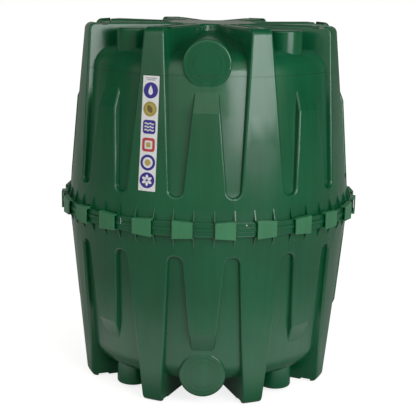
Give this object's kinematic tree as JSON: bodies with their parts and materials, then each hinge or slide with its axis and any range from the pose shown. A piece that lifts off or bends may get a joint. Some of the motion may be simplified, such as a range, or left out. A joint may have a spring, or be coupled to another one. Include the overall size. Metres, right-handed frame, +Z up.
{
  "type": "two-part water tank",
  "caption": "Upright moulded plastic water tank: ribbed half shells turned rim to rim, braced flanges held by clips over a rubber seal, star of feet below.",
  "frame": {"origin": "centre of the tank's footprint, in the plane of its feet", "axes": "+Z up along the tank's axis, -Y out of the front bay, +X to the right seen from the front"},
  "size_m": [1.3492, 1.3492, 1.6],
  "materials": {
    "shell_green": "moulded green plastic with a soft sheen",
    "clip_green": "lighter green moulded plastic",
    "seal_rubber": "black rubber"
  },
  "bodies": {
    "root": {"upper_shell": "shell_green", "lower_shell": "shell_green", "rim_seal": "seal_rubber", "clip_01": "clip_green", "clip_02": "clip_green", "clip_03": "clip_green", "clip_04": "clip_green", "clip_05": "clip_green", "clip_06": "clip_green", "clip_07": "clip_green", "clip_08": "clip_green", "clip_09": "clip_green", "clip_10": "clip_green", "clip_11": "clip_green", "clip_12": "clip_green", "clip_13": "clip_green", "clip_14": "clip_green", "clip_15": "clip_green", "clip_16": "clip_green", "clip_17": "clip_green", "clip_18": "clip_green", "clip_19": "clip_green", "clip_20": "clip_green", "clip_21": "clip_green", "clip_22": "clip_green", "clip_23": "clip_green", "clip_24": "clip_green"}
  },
  "joints": []
}
